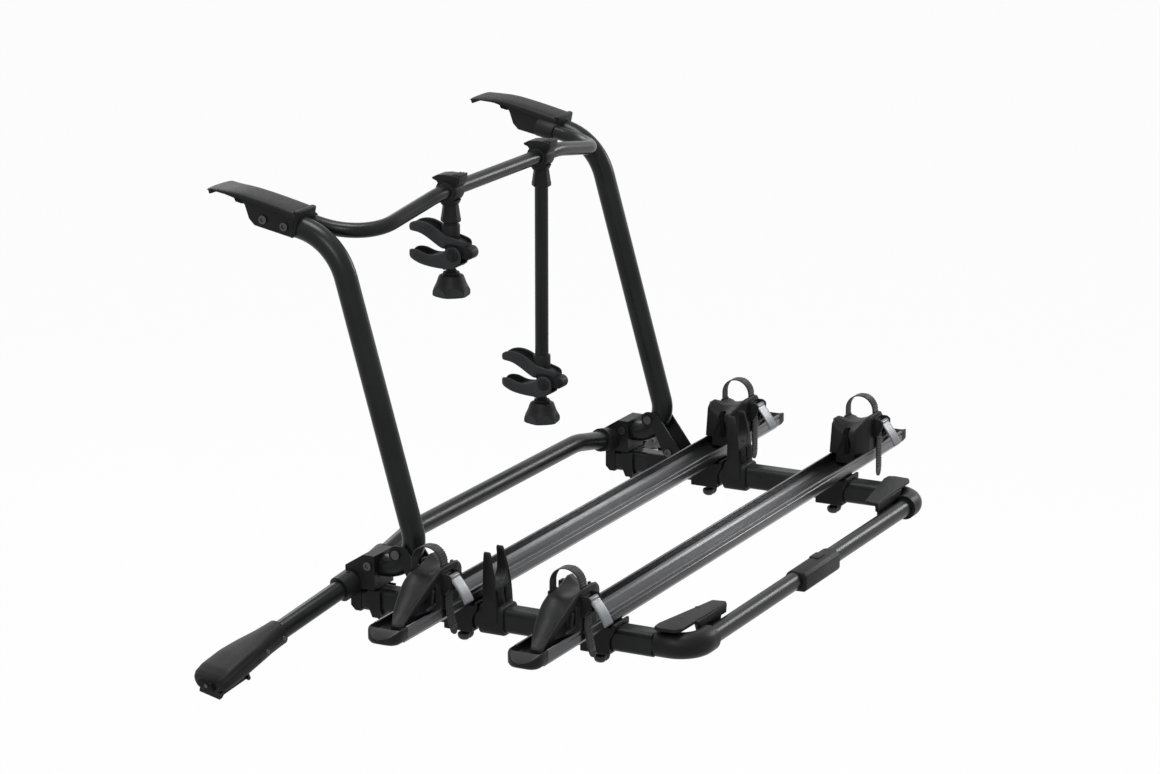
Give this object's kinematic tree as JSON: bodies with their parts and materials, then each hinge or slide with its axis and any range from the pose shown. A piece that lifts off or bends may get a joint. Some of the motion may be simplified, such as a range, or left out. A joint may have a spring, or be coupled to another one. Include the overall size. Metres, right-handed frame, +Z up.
{
  "type": "trunk mounted bike rack",
  "caption": "Rear bike rack that hangs on a tailgate by two hooks, with a folding platform of two wheel trays and clamping bike arms",
  "frame": {"origin": "midway between the two upper hooks, on the tailgate's upper edge under their pads", "axes": "+X along the wheel trays to the vehicle's right, +Y towards the vehicle, +Z up"},
  "size_m": [1.3506, 0.7507, 0.636],
  "materials": {
    "black_powder_coat": "satin powder coat",
    "satin_black_casting": "satin painted casting",
    "dark_anodised_aluminium": "dark anodised",
    "dark_steel": "dark zinc",
    "black_plastic": "fine matte grain",
    "strap_plastic": "flexible, toothed",
    "grey_plastic": "matte",
    "silver_plastic": "satin",
    "black_rubber": "matte"
  },
  "bodies": {
    "frame": {"uprights": "black_powder_coat", "hook_plates": "dark_steel", "hook_housings": "black_plastic", "hook_pads": "black_rubber", "bike_bar": "black_powder_coat", "lower_bar": "black_powder_coat", "hinge_castings": "satin_black_casting", "pivot_bolts": "dark_steel", "frame_screws": "dark_steel"},
    "platform": {"left_side_tube": "black_powder_coat", "right_side_tube": "black_powder_coat", "outer_bar": "black_powder_coat", "corner_elbows": "satin_black_casting", "bar_sleeve": "black_plastic", "corner_plates": "black_plastic", "fold_brackets": "satin_black_casting", "fork_clips": "black_plastic", "platform_screws": "dark_steel", "inner_saddles": "black_plastic", "outer_saddles": "black_plastic"},
    "left_latch": {"left_latch": "black_plastic"},
    "left_foot": {"left_foot_tube": "black_powder_coat", "left_foot_shell": "black_plastic"},
    "left_claw": {"left_foot_claw": "dark_steel"},
    "right_latch": {"right_latch": "black_plastic"},
    "right_foot": {"right_foot_tube": "black_powder_coat", "right_foot_shell": "black_plastic"},
    "right_claw": {"right_foot_claw": "dark_steel"},
    "inner_tray": {"inner_tray": "dark_anodised_aluminium", "inner_tray_caps": "black_plastic"},
    "inner_left_tray_knob": {"inner_left_tray_knob": "grey_plastic"},
    "inner_left_holder": {"inner_left_wheel_holder": "black_plastic", "inner_left_strap": "strap_plastic"},
    "inner_left_lever": {"inner_left_buckle_lever": "silver_plastic"},
    "inner_right_tray_knob": {"inner_right_tray_knob": "grey_plastic"},
    "inner_right_holder": {"inner_right_wheel_holder": "black_plastic", "inner_right_strap": "strap_plastic"},
    "inner_right_lever": {"inner_right_buckle_lever": "silver_plastic"},
    "outer_tray": {"outer_tray": "dark_anodised_aluminium", "outer_tray_caps": "black_plastic"},
    "outer_left_tray_knob": {"outer_left_tray_knob": "grey_plastic"},
    "outer_left_holder": {"outer_left_wheel_holder": "black_plastic", "outer_left_strap": "strap_plastic"},
    "outer_left_lever": {"outer_left_buckle_lever": "silver_plastic"},
    "outer_right_tray_knob": {"outer_right_tray_knob": "grey_plastic"},
    "outer_right_holder": {"outer_right_wheel_holder": "black_plastic", "outer_right_strap": "strap_plastic"},
    "outer_right_lever": {"outer_right_buckle_lever": "silver_plastic"},
    "short_liner": {"short_arm_liner": "strap_plastic"},
    "short_arm": {"short_arm_clamp": "black_plastic", "short_arm_tube": "black_powder_coat", "short_upper_jaw": "black_plastic"},
    "short_jaw": {"short_lower_jaw": "black_plastic"},
    "short_knob": {"short_arm_knob": "grey_plastic"},
    "long_liner": {"long_arm_liner": "strap_plastic"},
    "long_arm": {"long_arm_clamp": "black_plastic", "long_arm_tube": "black_powder_coat", "long_upper_jaw": "black_plastic"},
    "long_jaw": {"long_lower_jaw": "black_plastic"},
    "long_knob": {"long_arm_knob": "grey_plastic"}
  },
  "joints": [
    {"name": "platform_fold", "type": "hinge", "parent": "frame", "child": "platform", "pos_m": [0, -0.28202, -0.47581], "axis": [-1, 0, 0], "range_deg": [0, 97]},
    {"name": "left_latch_turn", "type": "hinge", "parent": "platform", "child": "left_latch", "pos_m": [-0.388, -0.24002, -0.54881], "axis": [1, 0, 0], "range_deg": [0, 30]},
    {"name": "left_foot_slide", "type": "slide", "parent": "frame", "child": "left_foot", "axis": [-0.923, 0.265, -0.279], "range_m": [0, 0.045]},
    {"name": "right_latch_turn", "type": "hinge", "parent": "platform", "child": "right_latch", "pos_m": [0.388, -0.24002, -0.54881], "axis": [1, 0, 0], "range_deg": [0, 30]},
    {"name": "right_foot_slide", "type": "slide", "parent": "frame", "child": "right_foot", "axis": [0.923, 0.265, -0.279], "range_m": [0, 0.045]},
    {"name": "inner_tray_slide", "type": "slide", "parent": "platform", "child": "inner_tray", "axis": [1, 0, 0], "range_m": [-0.02, 0.02]},
    {"name": "inner_left_knob_turn", "type": "hinge", "parent": "platform", "child": "inner_left_tray_knob", "pos_m": [-0.388, -0.37802, -0.57481], "axis": [0, 0, 1], "continuous": true},
    {"name": "inner_left_holder_slide", "type": "slide", "parent": "inner_tray", "child": "inner_left_holder", "axis": [-1, 0, 0], "range_m": [-0.035, 0]},
    {"name": "inner_left_lever_turn", "type": "hinge", "parent": "inner_left_holder", "child": "inner_left_lever", "pos_m": [-0.487, -0.41462, -0.46581], "axis": [-1, 0, 0], "range_deg": [0, 80]},
    {"name": "inner_right_knob_turn", "type": "hinge", "parent": "platform", "child": "inner_right_tray_knob", "pos_m": [0.388, -0.37802, -0.57481], "axis": [0, 0, 1], "continuous": true},
    {"name": "inner_right_holder_slide", "type": "slide", "parent": "inner_tray", "child": "inner_right_holder", "axis": [1, 0, 0], "range_m": [-0.035, 0]},
    {"name": "inner_right_lever_turn", "type": "hinge", "parent": "inner_right_holder", "child": "inner_right_lever", "pos_m": [0.487, -0.41462, -0.46581], "axis": [-1, 0, 0], "range_deg": [0, 80]},
    {"name": "outer_tray_slide", "type": "slide", "parent": "platform", "child": "outer_tray", "axis": [1, 0, 0], "range_m": [-0.02, 0.02]},
    {"name": "outer_left_knob_turn", "type": "hinge", "parent": "platform", "child": "outer_left_tray_knob", "pos_m": [-0.388, -0.58602, -0.57481], "axis": [0, 0, 1], "continuous": true},
    {"name": "outer_left_holder_slide", "type": "slide", "parent": "outer_tray", "child": "outer_left_holder", "axis": [-1, 0, 0], "range_m": [-0.035, 0]},
    {"name": "outer_left_lever_turn", "type": "hinge", "parent": "outer_left_holder", "child": "outer_left_lever", "pos_m": [-0.487, -0.62262, -0.46581], "axis": [-1, 0, 0], "range_deg": [0, 80]},
    {"name": "outer_right_knob_turn", "type": "hinge", "parent": "platform", "child": "outer_right_tray_knob", "pos_m": [0.388, -0.58602, -0.57481], "axis": [0, 0, 1], "continuous": true},
    {"name": "outer_right_holder_slide", "type": "slide", "parent": "outer_tray", "child": "outer_right_holder", "axis": [1, 0, 0], "range_m": [-0.035, 0]},
    {"name": "outer_right_lever_turn", "type": "hinge", "parent": "outer_right_holder", "child": "outer_right_lever", "pos_m": [0.487, -0.62262, -0.46581], "axis": [-1, 0, 0], "range_deg": [0, 80]},
    {"name": "short_arm_slide", "type": "slide", "parent": "frame", "child": "short_liner", "axis": [-1, 0, 0], "range_m": [-0.03, 0]},
    {"name": "short_arm_swing", "type": "hinge", "parent": "short_liner", "child": "short_arm", "pos_m": [-0.147, -0.22442, -0.02381], "axis": [1, 0, 0], "range_deg": [-100, 0]},
    {"name": "short_jaw_turn", "type": "hinge", "parent": "short_arm", "child": "short_jaw", "pos_m": [-0.147, -0.23552, -0.11381], "axis": [-1, 0, 0], "range_deg": [-8, 25]},
    {"name": "short_knob_turn", "type": "hinge", "parent": "short_jaw", "child": "short_knob", "pos_m": [-0.147, -0.22552, -0.15381], "axis": [0, 0, 1], "range_deg": [-800, 2500]},
    {"name": "long_arm_slide", "type": "slide", "parent": "frame", "child": "long_liner", "axis": [1, 0, 0], "range_m": [-0.03, 0]},
    {"name": "long_arm_swing", "type": "hinge", "parent": "long_liner", "child": "long_arm", "pos_m": [0.125, -0.22442, -0.02381], "axis": [1, 0, 0], "range_deg": [-100, 0]},
    {"name": "long_jaw_turn", "type": "hinge", "parent": "long_arm", "child": "long_jaw", "pos_m": [0.125, -0.23552, -0.36481], "axis": [-1, 0, 0], "range_deg": [-8, 25]},
    {"name": "long_knob_turn", "type": "hinge", "parent": "long_jaw", "child": "long_knob", "pos_m": [0.125, -0.22552, -0.40481], "axis": [0, 0, 1], "range_deg": [-800, 2500]},
    {"name": "left_claw_turn", "type": "hinge", "parent": "left_foot", "child": "left_claw", "pos_m": [-0.61228, -0.15027, -0.60379], "axis": [-0.2537, -0.9642, -0.0767], "range_deg": [0, 8]},
    {"name": "right_claw_turn", "type": "hinge", "parent": "right_foot", "child": "right_claw", "pos_m": [0.61228, -0.15027, -0.60379], "axis": [-0.2537, 0.9642, 0.0767], "range_deg": [0, 8]}
  ],
  "couplings": [
    {"joint": "short_knob_turn", "follows": "short_jaw_turn", "ratio": 100},
    {"joint": "long_knob_turn", "follows": "long_jaw_turn", "ratio": 100}
  ]
}
